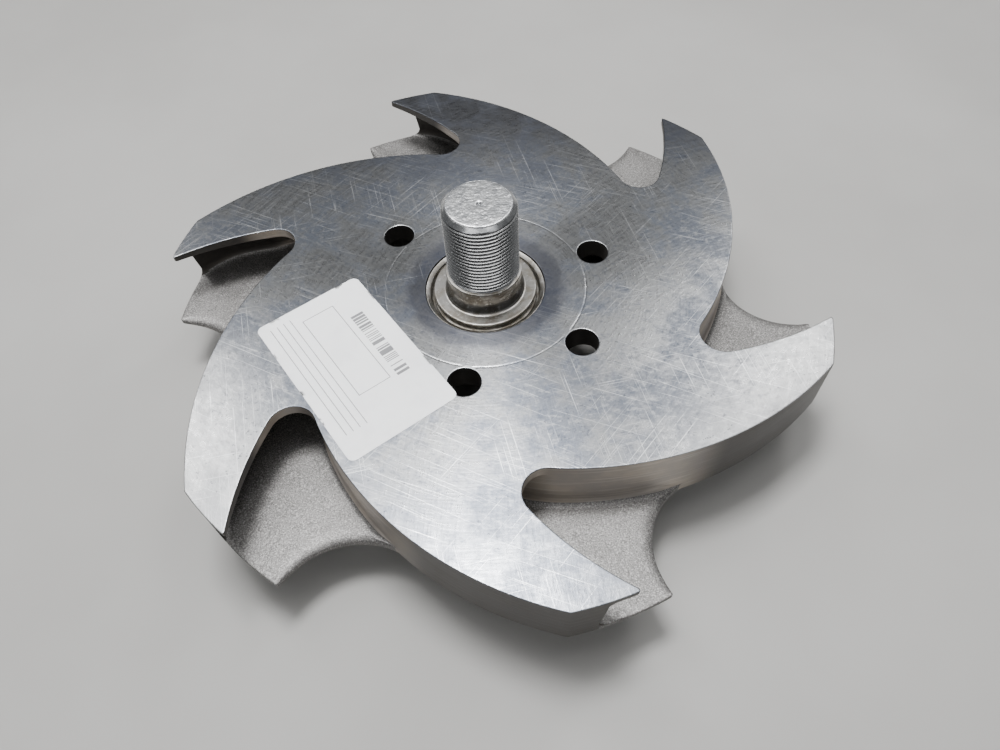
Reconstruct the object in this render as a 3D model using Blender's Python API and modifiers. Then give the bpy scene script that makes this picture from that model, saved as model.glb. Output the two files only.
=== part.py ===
"""Six-armed pump impeller, lying on its suction eye with the machined back face up.

Metres, +Z up. The origin is on the shaft axis, at the bottom of the suction eye.
"""
import math

import bmesh
import bpy
from mathutils import Matrix, Vector

MM = 0.001
GAP = 0.3 * MM

# Driving sizes of the whole casting
ARMS = 6
RIM_RADIUS = 203 * MM
CLEAR_RADIUS = 223 * MM
TOP_HEIGHT = 75 * MM
FIRST_TIP = math.radians(47.535)
STEP = 2 * math.pi / ARMS

# Plan of one arm, with angles measured from a tip that points along +Y
TIP = math.radians(90)
LEADING_OUTER_CENTRE = Vector((-78.3 * MM, 38 * MM))
LEADING_OUTER_RADIUS = 197.6 * MM
LEADING_INNER_RADIUS = 95 * MM
LEADING_JOIN = 132 * MM
SLOT_FRONT_CENTRE = Vector((-140 * MM, 85.8 * MM))
SLOT_FRONT_RADIUS = 182.5 * MM
SLOT_END_RADIUS = 13.4 * MM
SCALLOP_CENTRE = Vector((-67 * MM, 191.9 * MM))
SCALLOP_RADIUS = 44.6 * MM

# Vane section in plan: thin at the eye, thickest at the slot end, narrow at the rim
VANE_NOSE_THICKNESS = 6 * MM
VANE_FULL_THICKNESS = 25.5 * MM
VANE_RIM_THICKNESS = 8 * MM
VANE_FULL_RADIUS = 156 * MM
VANE_NOSE_RADIUS = 85 * MM
VANE_INNER_RADIUS = 60 * MM

# Back plate, hub and eye
RECESS_RADIUS = 36.4 * MM
HOLE_RADIUS = 9.5 * MM
HOLE_CIRCLE = 71.6 * MM
HOLE_ANGLE = math.radians(17.341)
EYE_RADIUS = 76 * MM
EYE_OUTER_RADIUS = 88 * MM
EYE_RING_HEIGHT = 20 * MM
EYE_CHAMFER = 1.5 * MM
EYE_BORE_HEIGHT = 12 * MM
NECK_OPENING = 78.8 * MM
HUB_RADIUS = 50 * MM
HUB_HEIGHT = 56 * MM
SEAT_HEIGHT = 68 * MM
GROOVE_RADIUS = 33.2 * MM
LEDGE_INNER_HEIGHT = 72.8 * MM
LEDGE_OUTER_HEIGHT = 74.2 * MM

# Stub, as heights above the machined face
STUB_LENGTH = 65.4 * MM
STUB_END_RADIUS = 18.2 * MM
THREAD_RADIUS = 21.2 * MM
CHAMFER_LENGTH = 3.4 * MM
BAND_RADIUS = 22.5 * MM
BAND_TOP = 16.4 * MM
BAND_BOTTOM = 12.6 * MM
NECK_RADIUS = 20.4 * MM
NECK_BOTTOM = 8.6 * MM
FOOT_RADIUS = 23.4 * MM
FLANGE_RADIUS = 31 * MM

# Label
LABEL_LENGTH = 112 * MM
LABEL_WIDTH = 68 * MM
LABEL_CORNER = 4 * MM
LABEL_THICKNESS = 0.3 * MM
LABEL_CENTRE = Vector((-77.8 * MM, -50.1 * MM))
LABEL_TURN = math.radians(-57.3)

# Fineness of curved surfaces
TURN_STEPS = 72
CURVE_STEPS = 14
CORNER_STEPS = 8
HOLE_STEPS = 24
MERGE = 0.00001


def spin(point, angle):
    """A plan point turned about the shaft axis."""
    c, s = math.cos(angle), math.sin(angle)
    return Vector((c * point[0] - s * point[1], s * point[0] + c * point[1]))


def polar(radius, angle):
    return Vector((radius * math.cos(angle), radius * math.sin(angle)))


def arc_angle(centre, arc_radius, radius):
    """Polar angle at which an arc around centre crosses a circle around the shaft."""
    away = centre.length
    swing = math.acos((radius ** 2 + away ** 2 - arc_radius ** 2) / (2 * radius * away))
    return math.atan2(centre.y, centre.x) - swing


LEADING_JOIN_POINT = polar(
    LEADING_JOIN, arc_angle(LEADING_OUTER_CENTRE, LEADING_OUTER_RADIUS, LEADING_JOIN))
LEADING_INNER_CENTRE = LEADING_JOIN_POINT + LEADING_INNER_RADIUS * (
    LEADING_OUTER_CENTRE - LEADING_JOIN_POINT).normalized()


def leading_angle(radius):
    """The convex side of an arm is two arcs that meet smoothly."""
    if radius > LEADING_JOIN:
        return arc_angle(LEADING_OUTER_CENTRE, LEADING_OUTER_RADIUS, radius)
    return arc_angle(LEADING_INNER_CENTRE, LEADING_INNER_RADIUS, radius)


def leading_edge(radius, turn=0.0):
    return polar(radius, leading_angle(radius) + turn)


def next_leading_edge(radius):
    """The convex side of the arm that closes the slot, one step round."""
    return leading_edge(radius, STEP)


def slot_front(angle):
    """The concave side of an arm is an arc that ends in the tip."""
    return SLOT_FRONT_CENTRE + polar(SLOT_FRONT_RADIUS, angle)


def scallop_arc(angle):
    """The free side of a lobe of the lower plate curves in towards the next arm."""
    return SCALLOP_CENTRE + polar(SCALLOP_RADIUS, angle)


def samples(curve, start, end, count):
    """Points along a curve, both ends included."""
    return [curve(start + (end - start) * i / count) for i in range(count + 1)]


def right_normal(curve, value, step):
    """Unit normal on the right of the curve's travel, where step gives the direction."""
    travel = (curve(value + step) - curve(value - step)).normalized()
    return Vector((travel.y, -travel.x))


def nearest(point, curve, start, end):
    """The curve value between start and end that comes closest to a point."""
    for _ in range(40):
        third = (end - start) / 3
        if (curve(start + third) - point).length < (curve(end - third) - point).length:
            end -= third
        else:
            start += third
    return (start + end) / 2


def rounded_inner_corner(side, side_start, side_end, radius, count):
    """A concave corner between one side of a gap and the next arm's leading edge.

    Returns the side value where the round starts, the round's points, and the radius
    at which it runs into the leading edge.
    """
    step = (side_end - side_start) / 1000
    low, high = side_start, side_end
    for _ in range(40):
        middle = (low + high) / 2
        centre = side(middle) + radius * right_normal(side, middle, step)
        touch = nearest(centre, next_leading_edge, VANE_INNER_RADIUS, RIM_RADIUS)
        if (next_leading_edge(touch) - centre).length > radius:
            low = middle
        else:
            high = middle
    first = side(middle) - centre
    last = next_leading_edge(touch) - centre
    start = math.atan2(first.y, first.x)
    sweep = -first.angle_signed(last)
    return middle, samples(lambda a: centre + polar(radius, a), start, start + sweep, count), touch


def closed_outside(first_side, second_side):
    """Joins the two sides of a gap well outside the rim."""
    ends = [second_side[-1].normalized(), first_side[0].normalized()]
    middle = (ends[0] + ends[1]).normalized()
    return first_side + second_side + [
        ends[0] * CLEAR_RADIUS, middle * CLEAR_RADIUS * 1.2, ends[1] * CLEAR_RADIUS]


def slot_outline():
    """Closed outline of the gap in the back plate beside one arm."""
    tip = Vector((0, RIM_RADIUS)) - SLOT_FRONT_CENTRE
    tip_angle = math.atan2(tip.y, tip.x)
    stop, corner, touch = rounded_inner_corner(
        slot_front, tip_angle, 0.0, SLOT_END_RADIUS, CORNER_STEPS)
    front = samples(slot_front, tip_angle, stop, CORNER_STEPS)[:-1]
    wall = samples(next_leading_edge, touch, RIM_RADIUS, CURVE_STEPS)[1:]
    return closed_outside(front + corner, wall)


def scallop_outline():
    """Closed outline of the gap in the lower plate, straight at the rim and then round."""
    inner = nearest_crossing(LEADING_JOIN, RIM_RADIUS)
    meeting = next_leading_edge(inner) - SCALLOP_CENTRE
    round_end = math.atan2(meeting.y, meeting.x)
    lobe_edge_x = SCALLOP_CENTRE.x + SCALLOP_RADIUS
    corner = Vector((lobe_edge_x, math.sqrt(RIM_RADIUS ** 2 - lobe_edge_x ** 2)))
    side = [corner] + samples(scallop_arc, 0.0, round_end, CURVE_STEPS)
    wall = samples(next_leading_edge, inner, RIM_RADIUS, CURVE_STEPS)[1:]
    return closed_outside(side, wall)


def nearest_crossing(low, high):
    """Radius at which the next leading edge first comes within the scallop's circle."""
    for _ in range(40):
        middle = (low + high) / 2
        if (next_leading_edge(middle) - SCALLOP_CENTRE).length > SCALLOP_RADIUS:
            low = middle
        else:
            high = middle
    return low


def vane_thickness(radius):
    """Thickness across the vane, swelling smoothly from the nose and from the rim."""
    if radius < VANE_FULL_RADIUS:
        end, reach = VANE_NOSE_THICKNESS, VANE_FULL_RADIUS - VANE_NOSE_RADIUS
    else:
        end, reach = VANE_RIM_THICKNESS, RIM_RADIUS - VANE_FULL_RADIUS
    away = min(abs(radius - VANE_FULL_RADIUS) / reach, 1)
    return end + (VANE_FULL_THICKNESS - end) * (1 + math.cos(math.pi * away)) / 2


def trailing_edge(radius):
    """The concave side, set off from the leading edge by the thickness across the vane."""
    step = 0.1 * MM
    turning = (leading_angle(radius + step) - leading_angle(radius - step)) / (2 * step)
    steepness = math.atan2(1, radius * turning)
    return leading_edge(radius, vane_thickness(radius) / (radius * math.sin(steepness)))


def vane_outline():
    count = 2 * CURVE_STEPS
    outer = samples(leading_edge, VANE_INNER_RADIUS, RIM_RADIUS, count)
    inner = samples(trailing_edge, RIM_RADIUS, VANE_INNER_RADIUS, count)
    return outer + inner


def new_collection(name):
    collection = bpy.data.collections.new(name)
    bpy.context.scene.collection.children.link(collection)
    return collection


def new_material(name, colour, roughness, metallic):
    material = bpy.data.materials.new(name)
    material.use_nodes = True
    shader = material.node_tree.nodes["Principled BSDF"]
    shader.inputs["Base Color"].default_value = (*colour, 1)
    shader.inputs["Roughness"].default_value = roughness
    shader.inputs["Metallic"].default_value = metallic
    return material


def place(mesh, name, collection, material=None):
    item = bpy.data.objects.new(name, mesh)
    collection.objects.link(item)
    if material:
        mesh.materials.append(material)
    else:
        item.hide_render = True
        item.display_type = "WIRE"
    return item


def shade(item):
    item.data.shade_smooth()
    item.data.set_sharp_from_angle(angle=math.radians(30))


def prism(outlines, bottom, top, name, collection, material=None):
    """Upright prism on one or more closed plan outlines."""
    curve = bpy.data.curves.new(name, "CURVE")
    curve.dimensions = "2D"
    curve.fill_mode = "BOTH"
    curve.extrude = (top - bottom) / 2
    for outline in outlines:
        spline = curve.splines.new("POLY")
        spline.points.add(len(outline) - 1)
        for point, place_at in zip(spline.points, outline):
            point.co = (place_at[0], place_at[1], 0, 1)
        spline.use_cyclic_u = True
    guide = bpy.data.objects.new(name, curve)
    bpy.context.scene.collection.objects.link(guide)
    guide.location.z = (top + bottom) / 2
    bpy.context.view_layer.update()
    evaluated = guide.evaluated_get(bpy.context.evaluated_depsgraph_get())
    mesh = bpy.data.meshes.new_from_object(evaluated)
    mesh.transform(guide.matrix_world)
    bpy.data.objects.remove(guide)
    weld(mesh)
    return place(mesh, name, collection, material)


def weld(mesh):
    shape = bmesh.new()
    shape.from_mesh(mesh)
    bmesh.ops.remove_doubles(shape, verts=shape.verts, dist=MERGE)
    bmesh.ops.recalc_face_normals(shape, faces=shape.faces)
    shape.to_mesh(mesh)
    shape.free()


def turned(profile, closed, name, collection, material=None):
    """Turned shape from (radius, height) points that run down its outer side."""
    mesh = bpy.data.meshes.new(name)
    edges = [(i, i + 1) for i in range(len(profile) - 1)]
    if closed:
        edges.append((len(profile) - 1, 0))
    mesh.from_pydata([(r, 0, z) for r, z in profile], edges, [])
    item = place(mesh, name, collection, material)
    screw = item.modifiers.new("Screw", "SCREW")
    screw.steps = TURN_STEPS
    screw.render_steps = TURN_STEPS
    screw.use_merge_vertices = True
    screw.merge_threshold = MERGE
    return item


def cut(item, cutter, operation="DIFFERENCE"):
    boolean = item.modifiers.new(cutter.name, "BOOLEAN")
    boolean.object = cutter
    boolean.operation = operation


def around(outline):
    """An outline repeated at every arm, in the casting's own position."""
    return [[spin(p, FIRST_TIP - TIP + k * STEP) for p in outline] for k in range(ARMS)]


# Turned profiles, as (radius, height) points
PLATE_UNDERSIDE = [
    (RIM_RADIUS, 70.8 * MM), (180 * MM, 69.2 * MM), (155 * MM, 68.2 * MM), (130 * MM, 67.6 * MM),
    (100 * MM, 66 * MM), (75 * MM, 62 * MM), (HUB_RADIUS, HUB_HEIGHT),
]
LOWER_PLATE_FLOOR = [
    (RIM_RADIUS, 40.5 * MM), (142 * MM, 37.5 * MM), (118 * MM, 35.6 * MM), (100 * MM, 32.6 * MM),
    (88 * MM, 28 * MM), (81 * MM, 23 * MM), (78.5 * MM, EYE_RING_HEIGHT),
]
LOWER_PLATE_OUTSIDE = [
    (RIM_RADIUS, 36.8 * MM), (162 * MM, 31.8 * MM), (130 * MM, 30 * MM), (108 * MM, 27.5 * MM),
    (95 * MM, 23.5 * MM), (EYE_OUTER_RADIUS, EYE_RING_HEIGHT),
]
VANE_INLET = (64 * MM, 58 * MM)
HUB_NOSE = [
    (45 * MM, 50 * MM), (37 * MM, 42.5 * MM), (28 * MM, 36.5 * MM), (18 * MM, 32.8 * MM),
    (9 * MM, 31.4 * MM), (0, 31 * MM),
]

# Bottom and top of the upright prisms that cut the plates and that the vanes are cut from
SLOT_CUT = (60 * MM, 80 * MM)
SCALLOP_CUT = (25 * MM, 50 * MM)
VANE_BLANK = (15 * MM, 75 * MM)
HOLE_CUT_MIDDLE = 65 * MM
HOLE_CUT_LENGTH = 40 * MM


def raised(profile, amount):
    return [(r, z + amount) for r, z in profile]


def flow_space(collection):
    """Room between the two plates, which the vanes fill from plate to plate."""
    ceiling = raised(PLATE_UNDERSIDE[:-1], -GAP)
    floor = raised(LOWER_PLATE_FLOOR[:-1], GAP)
    profile = [(CLEAR_RADIUS, ceiling[0][1]), (CLEAR_RADIUS, floor[0][1])] + floor + [VANE_INLET] + ceiling[::-1]
    return turned(profile, True, "flow_space", collection)


def back_shroud(parts, cutters, metal):
    outer = [(RIM_RADIUS, TOP_HEIGHT)]
    inner = [(RECESS_RADIUS, HUB_HEIGHT), (RECESS_RADIUS, TOP_HEIGHT)]
    item = turned(outer + PLATE_UNDERSIDE + inner, True, "back_shroud", parts, metal)
    cut(item, prism(around(slot_outline()), *SLOT_CUT, "slots", cutters))
    cut(item, balance_holes(cutters))
    return item


def balance_holes(collection):
    shape = bmesh.new()
    for k in range(ARMS):
        centre = polar(HOLE_CIRCLE, HOLE_ANGLE + k * STEP)
        where = Matrix.Translation((centre.x, centre.y, HOLE_CUT_MIDDLE))
        bmesh.ops.create_cone(
            shape, cap_ends=True, segments=HOLE_STEPS, radius1=HOLE_RADIUS, radius2=HOLE_RADIUS,
            depth=HOLE_CUT_LENGTH, matrix=where)
    mesh = bpy.data.meshes.new("balance_holes")
    shape.to_mesh(mesh)
    shape.free()
    return place(mesh, "balance_holes", collection)


def vanes(parts, space, metal):
    for number, outline in enumerate(around(vane_outline()), 1):
        item = prism([outline], *VANE_BLANK, f"vane_{number}", parts, metal)
        cut(item, space, "INTERSECT")


def front_shroud(parts, cutters, metal):
    joint = EYE_RING_HEIGHT + GAP
    profile = LOWER_PLATE_OUTSIDE[:-1] + [(EYE_OUTER_RADIUS, joint), (NECK_OPENING, joint)]
    profile += LOWER_PLATE_FLOOR[-2::-1]
    item = turned(profile, True, "front_shroud", parts, metal)
    cut(item, prism(around(scallop_outline()), *SCALLOP_CUT, "scallops", cutters))
    return item


def suction_eye_ring(parts, metal):
    profile = [
        (EYE_OUTER_RADIUS, EYE_RING_HEIGHT), (EYE_OUTER_RADIUS, EYE_CHAMFER),
        (EYE_OUTER_RADIUS - EYE_CHAMFER, 0), (EYE_RADIUS, 0), (EYE_RADIUS, EYE_BORE_HEIGHT),
        (LOWER_PLATE_FLOOR[-1][0], EYE_RING_HEIGHT),
    ]
    return turned(profile, True, "suction_eye_ring", parts, metal)


def hub(parts, metal):
    top = HUB_HEIGHT - GAP
    shank = RECESS_RADIUS - GAP
    profile = [
        (0, SEAT_HEIGHT - GAP), (GROOVE_RADIUS, SEAT_HEIGHT - GAP),
        (GROOVE_RADIUS, LEDGE_INNER_HEIGHT), (shank, LEDGE_OUTER_HEIGHT), (shank, top),
        (HUB_RADIUS, top),
    ] + HUB_NOSE
    return turned(profile, False, "hub", parts, metal)


def threaded_stub(parts, metal):
    end = TOP_HEIGHT + STUB_LENGTH
    flare = [(0.0, 0.0), (0.18, 0.45), (0.5, 0.8), (1.0, 1.0)]
    profile = [
        (0, end), (STUB_END_RADIUS, end), (THREAD_RADIUS, end - CHAMFER_LENGTH),
        (THREAD_RADIUS, TOP_HEIGHT + BAND_TOP), (BAND_RADIUS, TOP_HEIGHT + BAND_TOP),
        (BAND_RADIUS, TOP_HEIGHT + BAND_BOTTOM), (NECK_RADIUS, TOP_HEIGHT + BAND_BOTTOM),
    ]
    profile += [
        (NECK_RADIUS + (FOOT_RADIUS - NECK_RADIUS) * out, TOP_HEIGHT + NECK_BOTTOM * (1 - down))
        for out, down in flare
    ]
    profile += [(FLANGE_RADIUS, TOP_HEIGHT), (FLANGE_RADIUS, SEAT_HEIGHT), (0, SEAT_HEIGHT)]
    return turned(profile, False, "threaded_stub", parts, metal)


def label(parts, paper):
    corners = []
    for quarter in range(4):
        sign_x = (1, -1, -1, 1)[quarter]
        sign_y = (1, 1, -1, -1)[quarter]
        centre = Vector((sign_x * (LABEL_LENGTH / 2 - LABEL_CORNER),
                         sign_y * (LABEL_WIDTH / 2 - LABEL_CORNER)))
        start = quarter * math.pi / 2
        corners += samples(lambda a: centre + polar(LABEL_CORNER, a), start, start + math.pi / 2, 4)
    outline = [LABEL_CENTRE + spin(p, LABEL_TURN) for p in corners]
    bottom = TOP_HEIGHT + GAP
    return prism([outline], bottom, bottom + LABEL_THICKNESS, "label", parts, paper)


def build():
    for item in list(bpy.data.objects):
        bpy.data.objects.remove(item)
    parts = new_collection("pump_impeller")
    cutters = new_collection("cutters")
    machined = new_material("machined_steel", (0.56, 0.57, 0.60), 0.32, 1.0)
    cast = new_material("cast_steel", (0.36, 0.35, 0.34), 0.6, 1.0)
    turned_steel = new_material("turned_steel", (0.62, 0.62, 0.62), 0.25, 1.0)
    paper = new_material("label_paper", (0.88, 0.89, 0.90), 0.6, 0.0)
    back_shroud(parts, cutters, machined)
    vanes(parts, flow_space(cutters), cast)
    front_shroud(parts, cutters, cast)
    suction_eye_ring(parts, machined)
    hub(parts, cast)
    threaded_stub(parts, turned_steel)
    label(parts, paper)
    for item in parts.objects:
        shade(item)


build()
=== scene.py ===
"""Looks of the pump impeller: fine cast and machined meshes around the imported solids."""
import math

import bmesh
import bpy
import numpy as np
from mathutils import Matrix, Vector, noise
from mathutils.geometry import delaunay_2d_cdt


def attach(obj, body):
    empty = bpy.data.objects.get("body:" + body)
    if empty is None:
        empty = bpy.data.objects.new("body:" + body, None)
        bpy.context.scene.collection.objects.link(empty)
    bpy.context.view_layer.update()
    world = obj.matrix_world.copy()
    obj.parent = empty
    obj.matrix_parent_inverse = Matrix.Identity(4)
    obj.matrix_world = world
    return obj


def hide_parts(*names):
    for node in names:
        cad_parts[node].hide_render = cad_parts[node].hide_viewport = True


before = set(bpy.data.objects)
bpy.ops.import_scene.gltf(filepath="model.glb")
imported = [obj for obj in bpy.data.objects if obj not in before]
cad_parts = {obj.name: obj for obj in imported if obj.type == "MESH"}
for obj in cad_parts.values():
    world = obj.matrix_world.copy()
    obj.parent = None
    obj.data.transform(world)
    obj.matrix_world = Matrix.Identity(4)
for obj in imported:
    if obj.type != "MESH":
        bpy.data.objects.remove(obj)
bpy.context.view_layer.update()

MM = 0.001

# Sizes repeated from the part, in metres
ARMS = 6
RIM_RADIUS = 203 * MM
TOP_HEIGHT = 75 * MM
FIRST_TIP = math.radians(47.535)
STEP = 2 * math.pi / ARMS
TIP = math.radians(90)
LEADING_OUTER_CENTRE = Vector((-78.3 * MM, 38 * MM))
LEADING_OUTER_RADIUS = 197.6 * MM
LEADING_INNER_RADIUS = 95 * MM
LEADING_JOIN = 132 * MM
SLOT_FRONT_CENTRE = Vector((-140 * MM, 85.8 * MM))
SLOT_FRONT_RADIUS = 182.5 * MM
SLOT_END_RADIUS = 13.4 * MM
SCALLOP_CENTRE = Vector((-67 * MM, 191.9 * MM))
SCALLOP_RADIUS = 44.6 * MM
VANE_NOSE_THICKNESS = 6 * MM
VANE_FULL_THICKNESS = 25.5 * MM
VANE_RIM_THICKNESS = 8 * MM
VANE_FULL_RADIUS = 156 * MM
VANE_NOSE_RADIUS = 85 * MM
VANE_TOP_INNER = 64 * MM
VANE_FOOT_INNER = 80 * MM
RECESS_RADIUS = 36.4 * MM
HOLE_RADIUS = 9.5 * MM
HOLE_CIRCLE = 71.6 * MM
HOLE_ANGLE = math.radians(17.341)
SCRIBE_RADIUS = 61 * MM
LABEL_LENGTH = 112 * MM
LABEL_WIDTH = 68 * MM
LABEL_CORNER = 4 * MM
LABEL_CENTRE = Vector((-77.8 * MM, -50.1 * MM))
LABEL_TURN = math.radians(-57.3)

# Heights of the turned surfaces of the two plates, as (radius, height) in mm
UNDERSIDE = ((36, 54), (50, 56), (75, 62), (100, 66), (130, 67.6), (155, 68.2), (180, 69.2),
             (203, 70.8))
FLOOR = ((60, 8), (76, 14), (78.5, 20), (81, 23), (88, 28), (100, 32.6), (118, 35.6), (142, 37.5),
         (203, 40.5))
OUTSIDE = ((88, 20), (95, 23.5), (108, 27.5), (130, 30), (162, 31.8), (203, 36.8))

FLOOR_FILLET = 5.0 * MM
CEILING_FILLET = 2.5 * MM
WALL_STEP = 1.6 * MM
SUPPORT = 0.15 * MM
MERGE = 1e-6
SEED_SHIFT = Vector((3.1, 7.7, 1.9))


# Plan geometry of one arm whose tip points along +Y

def polar(radius, angle):
    return Vector((radius * math.cos(angle), radius * math.sin(angle)))


def arc_angle(centre, arc_radius, radius):
    """Polar angle at which an arc around centre crosses a circle around the shaft."""
    away = centre.length
    swing = math.acos((radius ** 2 + away ** 2 - arc_radius ** 2) / (2 * radius * away))
    return math.atan2(centre.y, centre.x) - swing


LEADING_JOIN_POINT = polar(
    LEADING_JOIN, arc_angle(LEADING_OUTER_CENTRE, LEADING_OUTER_RADIUS, LEADING_JOIN))
LEADING_INNER_CENTRE = LEADING_JOIN_POINT + LEADING_INNER_RADIUS * (
    LEADING_OUTER_CENTRE - LEADING_JOIN_POINT).normalized()


def leading_angle(radius):
    if radius > LEADING_JOIN:
        return arc_angle(LEADING_OUTER_CENTRE, LEADING_OUTER_RADIUS, radius)
    return arc_angle(LEADING_INNER_CENTRE, LEADING_INNER_RADIUS, radius)


def leading_edge(radius, turn=0.0):
    return polar(radius, leading_angle(radius) + turn)


def next_leading_edge(radius):
    return leading_edge(radius, STEP)


def slot_front(angle):
    return SLOT_FRONT_CENTRE + polar(SLOT_FRONT_RADIUS, angle)


def scallop_arc(angle):
    return SCALLOP_CENTRE + polar(SCALLOP_RADIUS, angle)


def rim_arc(angle):
    return polar(RIM_RADIUS, angle)


def samples(curve, start, end, count):
    return [curve(start + (end - start) * i / count) for i in range(count + 1)]


def right_normal(curve, value, step):
    travel = (curve(value + step) - curve(value - step)).normalized()
    return Vector((travel.y, -travel.x))


def nearest(point, curve, start, end):
    for _ in range(40):
        third = (end - start) / 3
        if (curve(start + third) - point).length < (curve(end - third) - point).length:
            end -= third
        else:
            start += third
    return (start + end) / 2


def rounded_inner_corner(side, side_start, side_end, radius, count):
    """A concave corner between one side of a gap and the next arm's leading edge."""
    step = (side_end - side_start) / 1000
    low, high = side_start, side_end
    for _ in range(40):
        middle = (low + high) / 2
        centre = side(middle) + radius * right_normal(side, middle, step)
        touch = nearest(centre, next_leading_edge, VANE_TOP_INNER, RIM_RADIUS)
        if (next_leading_edge(touch) - centre).length > radius:
            low = middle
        else:
            high = middle
    first = side(middle) - centre
    last = next_leading_edge(touch) - centre
    start = math.atan2(first.y, first.x)
    sweep = -first.angle_signed(last)
    return middle, samples(lambda a: centre + polar(radius, a), start, start + sweep, count), touch


def even_samples(curve, start, end, step):
    """Points along a curve about one step apart, both ends included."""
    rough = samples(curve, start, end, 60)
    length = sum((b - a).length for a, b in zip(rough, rough[1:]))
    return samples(curve, start, end, max(2, round(length / step)))


def blunt(points, corner, reach, steps=5):
    """Rounds the sharp corner at an index of an open run of points."""
    point = points[corner]
    before = corner
    while (points[before] - point).length < reach:
        before -= 1
    after = corner
    while (points[after] - point).length < reach:
        after += 1
    a = point + (points[before] - point).normalized() * reach
    b = point + (points[after] - point).normalized() * reach
    curve = [a.lerp(point, t).lerp(point.lerp(b, t), t) for t in np.linspace(0, 1, steps)]
    return points[:before + 1] + curve + points[after:]


def plan_array(points):
    return np.array([(p.x, p.y) for p in points])


def turned_plan(points, angle):
    c, s = math.cos(angle), math.sin(angle)
    return points @ np.array([[c, s], [-s, c]])


def all_arms(points):
    """One arm's run of points repeated for every arm, in the casting's own position."""
    return np.vstack([turned_plan(points, FIRST_TIP - TIP + k * STEP) for k in range(ARMS)])


def tidy_loop(loop, least=0.15 * MM):
    """Drops points of a closed loop that lie almost on the one before."""
    keep = np.linalg.norm(loop - np.roll(loop, 1, axis=0), axis=1) > least
    return loop[keep]


def back_plate_loop():
    tip = rim_arc(TIP) - SLOT_FRONT_CENTRE
    tip_angle = math.atan2(tip.y, tip.x)
    stop, corner, touch = rounded_inner_corner(slot_front, tip_angle, 0.0, SLOT_END_RADIUS, 22)
    rim = even_samples(rim_arc, leading_angle(RIM_RADIUS), TIP, WALL_STEP)
    front = even_samples(slot_front, tip_angle, stop, WALL_STEP)
    wall = even_samples(next_leading_edge, touch, RIM_RADIUS, WALL_STEP)
    run = blunt(rim + front[1:], len(rim) - 1, 2.8 * MM, 8)
    return tidy_loop(all_arms(plan_array(run + corner[1:] + wall[1:-1])))


def nearest_crossing(low, high):
    """Radius at which the next leading edge first comes within the scallop's circle."""
    for _ in range(40):
        middle = (low + high) / 2
        if (next_leading_edge(middle) - SCALLOP_CENTRE).length > SCALLOP_RADIUS:
            low = middle
        else:
            high = middle
    return low


def lower_plate_loop():
    """Outline of the lower plate: its rim, the lobe's straight side, the scallop, the wall."""
    edge_x = SCALLOP_CENTRE.x + SCALLOP_RADIUS
    lobe_end = Vector((edge_x, math.sqrt(RIM_RADIUS ** 2 - edge_x ** 2)))
    inner = nearest_crossing(LEADING_JOIN, RIM_RADIUS)
    meeting = next_leading_edge(inner) - SCALLOP_CENTRE
    rim = even_samples(
        rim_arc, leading_angle(RIM_RADIUS), math.atan2(lobe_end.y, lobe_end.x), WALL_STEP)
    side = even_samples(lambda t: lobe_end.lerp(scallop_arc(0.0), t), 0.0, 1.0, WALL_STEP)
    arc = even_samples(scallop_arc, 0.0, math.atan2(meeting.y, meeting.x), WALL_STEP)
    wall = even_samples(next_leading_edge, inner, RIM_RADIUS, WALL_STEP)
    run = blunt(rim + side[1:], len(rim) - 1, 1.2 * MM)
    return tidy_loop(all_arms(plan_array(run + arc[1:] + wall[1:-1])))


def vane_thickness(radius):
    if radius < VANE_FULL_RADIUS:
        end, reach = VANE_NOSE_THICKNESS, VANE_FULL_RADIUS - VANE_NOSE_RADIUS
    else:
        end, reach = VANE_RIM_THICKNESS, RIM_RADIUS - VANE_FULL_RADIUS
    away = min(abs(radius - VANE_FULL_RADIUS) / reach, 1)
    return end + (VANE_FULL_THICKNESS - end) * (1 + math.cos(math.pi * away)) / 2


def trailing_edge(radius, share):
    step = 0.1 * MM
    turning = (leading_angle(radius + step) - leading_angle(radius - step)) / (2 * step)
    steepness = math.atan2(1, radius * turning)
    return leading_edge(radius, share * vane_thickness(radius) / (radius * math.sin(steepness)))


VANE_RIM_STEPS = 10


def vane_loop(inner, share, count=84, nose_steps=7, rim_steps=VANE_RIM_STEPS):
    """Closed plan of one vane, always with the same number of points."""
    settled = 118 * MM
    radii = []
    for i in range(count + 1):
        t = i / count
        if t < 0.3:
            radii.append(inner + (settled - inner) * t / 0.3)
        else:
            radii.append(settled + (RIM_RADIUS - settled) * (t - 0.3) / 0.7)
    lead = [leading_edge(r) for r in radii]
    trail = [trailing_edge(r, share) for r in radii]
    middle = (lead[0] + trail[0]) / 2
    arm = trail[0] - middle
    back = (lead[0] + trail[0] - lead[1] - trail[1]).normalized() * arm.length
    nose = [middle + arm * math.cos(a) + back * math.sin(a)
            for a in np.linspace(0, math.pi, nose_steps + 2)[1:-1]]
    first, last = leading_angle(RIM_RADIUS), math.atan2(trail[-1].y, trail[-1].x)
    rim = [rim_arc(first + (last - first) * i / rim_steps) for i in range(1, rim_steps)]
    return plan_array(nose + lead + rim + trail[::-1])


VANE_FOOT = vane_loop(VANE_FOOT_INNER, 0.82)
VANE_HEAD = vane_loop(VANE_TOP_INNER, 1.0)


BACK_OUTLINE = back_plate_loop()
LOWER_OUTLINE = lower_plate_loop()


# Distances and height fields over the plan

def inside(points, loop):
    """Which points lie in a closed loop, by the even-odd rule."""
    x, y = points[:, :1], points[:, 1:]
    ax, ay = loop[:, 0], loop[:, 1]
    bx, by = np.roll(ax, -1), np.roll(ay, -1)
    crosses = (ay > y) != (by > y)
    with np.errstate(divide="ignore", invalid="ignore"):
        at = (bx - ax) * (y - ay) / (by - ay) + ax
    return (crosses & (x < at)).sum(axis=1) % 2 == 1


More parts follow.
